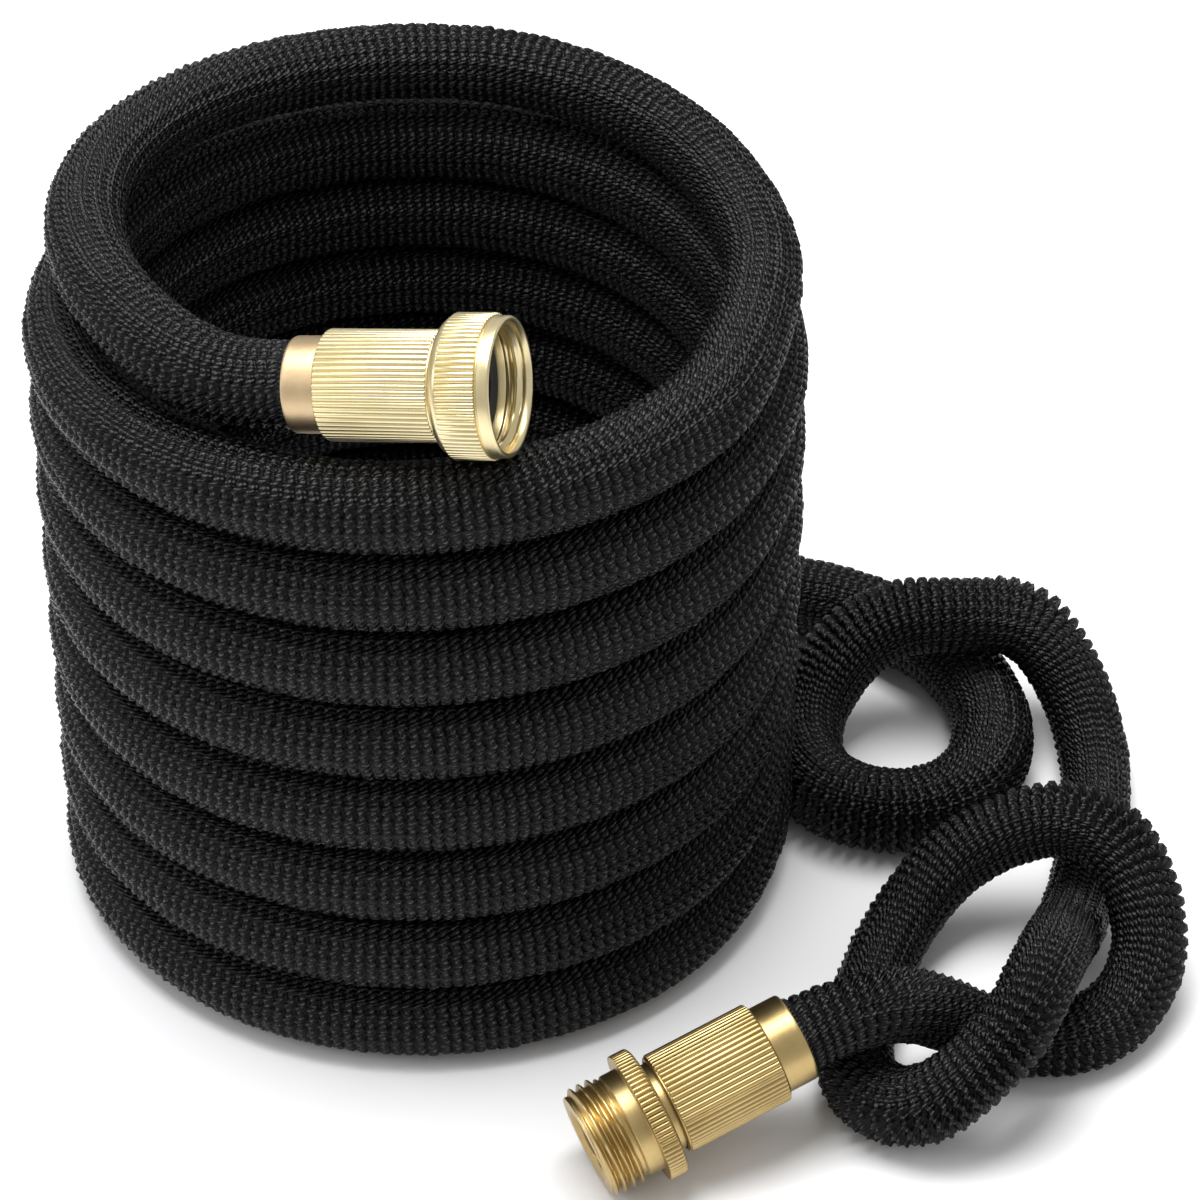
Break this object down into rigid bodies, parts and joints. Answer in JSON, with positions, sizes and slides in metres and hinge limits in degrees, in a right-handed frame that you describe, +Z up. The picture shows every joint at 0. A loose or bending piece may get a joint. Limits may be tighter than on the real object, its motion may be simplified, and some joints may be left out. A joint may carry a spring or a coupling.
{
  "type": "expandable garden hose",
  "caption": "Expandable garden hose with a gathered black fabric jacket, coiled round, with brass inlet and outlet couplings",
  "frame": {"origin": "the middle of the footprint of the coiled hose as it lies, on the ground", "axes": "+Z up, +X from the coil towards the tail, +Y from the couplings towards the far side of the coil"},
  "size_m": [0.2804, 0.2338, 0.2006],
  "materials": {
    "brass": "satin, ribbed for grip, with a pale gold tone",
    "brushed_brass": "brushed, slightly redder than the rest of the coupling",
    "jacket_fabric": "black woven polyester, gathered into close ribs",
    "latex_tube": "smooth dark latex",
    "washer_rubber": "matt black rubber",
    "collar_nylon": "natural nylon"
  },
  "bodies": {
    "hose": {"inlet_insert": "brass", "inlet_shell": "brass", "inlet_end_ring": "brushed_brass", "inlet_clamp_collar": "collar_nylon", "outlet_spigot": "brass", "outlet_shell": "brass", "outlet_end_ring": "brushed_brass", "outlet_clamp_collar": "collar_nylon", "hose_coil": "jacket_fabric", "hose_top_turn": "jacket_fabric", "hose_tail": "jacket_fabric", "latex_top_turn": "latex_tube", "latex_tail": "latex_tube"},
    "nut": {"swivel_nut": "brass", "inlet_washer": "washer_rubber"}
  },
  "joints": [
    {"name": "nut_swivel", "type": "hinge", "parent": "hose", "child": "nut", "pos_m": [-0.02907, -0.04717, 0.18422], "axis": [0.963, -0.2116, 0.1666], "continuous": true}
  ]
}
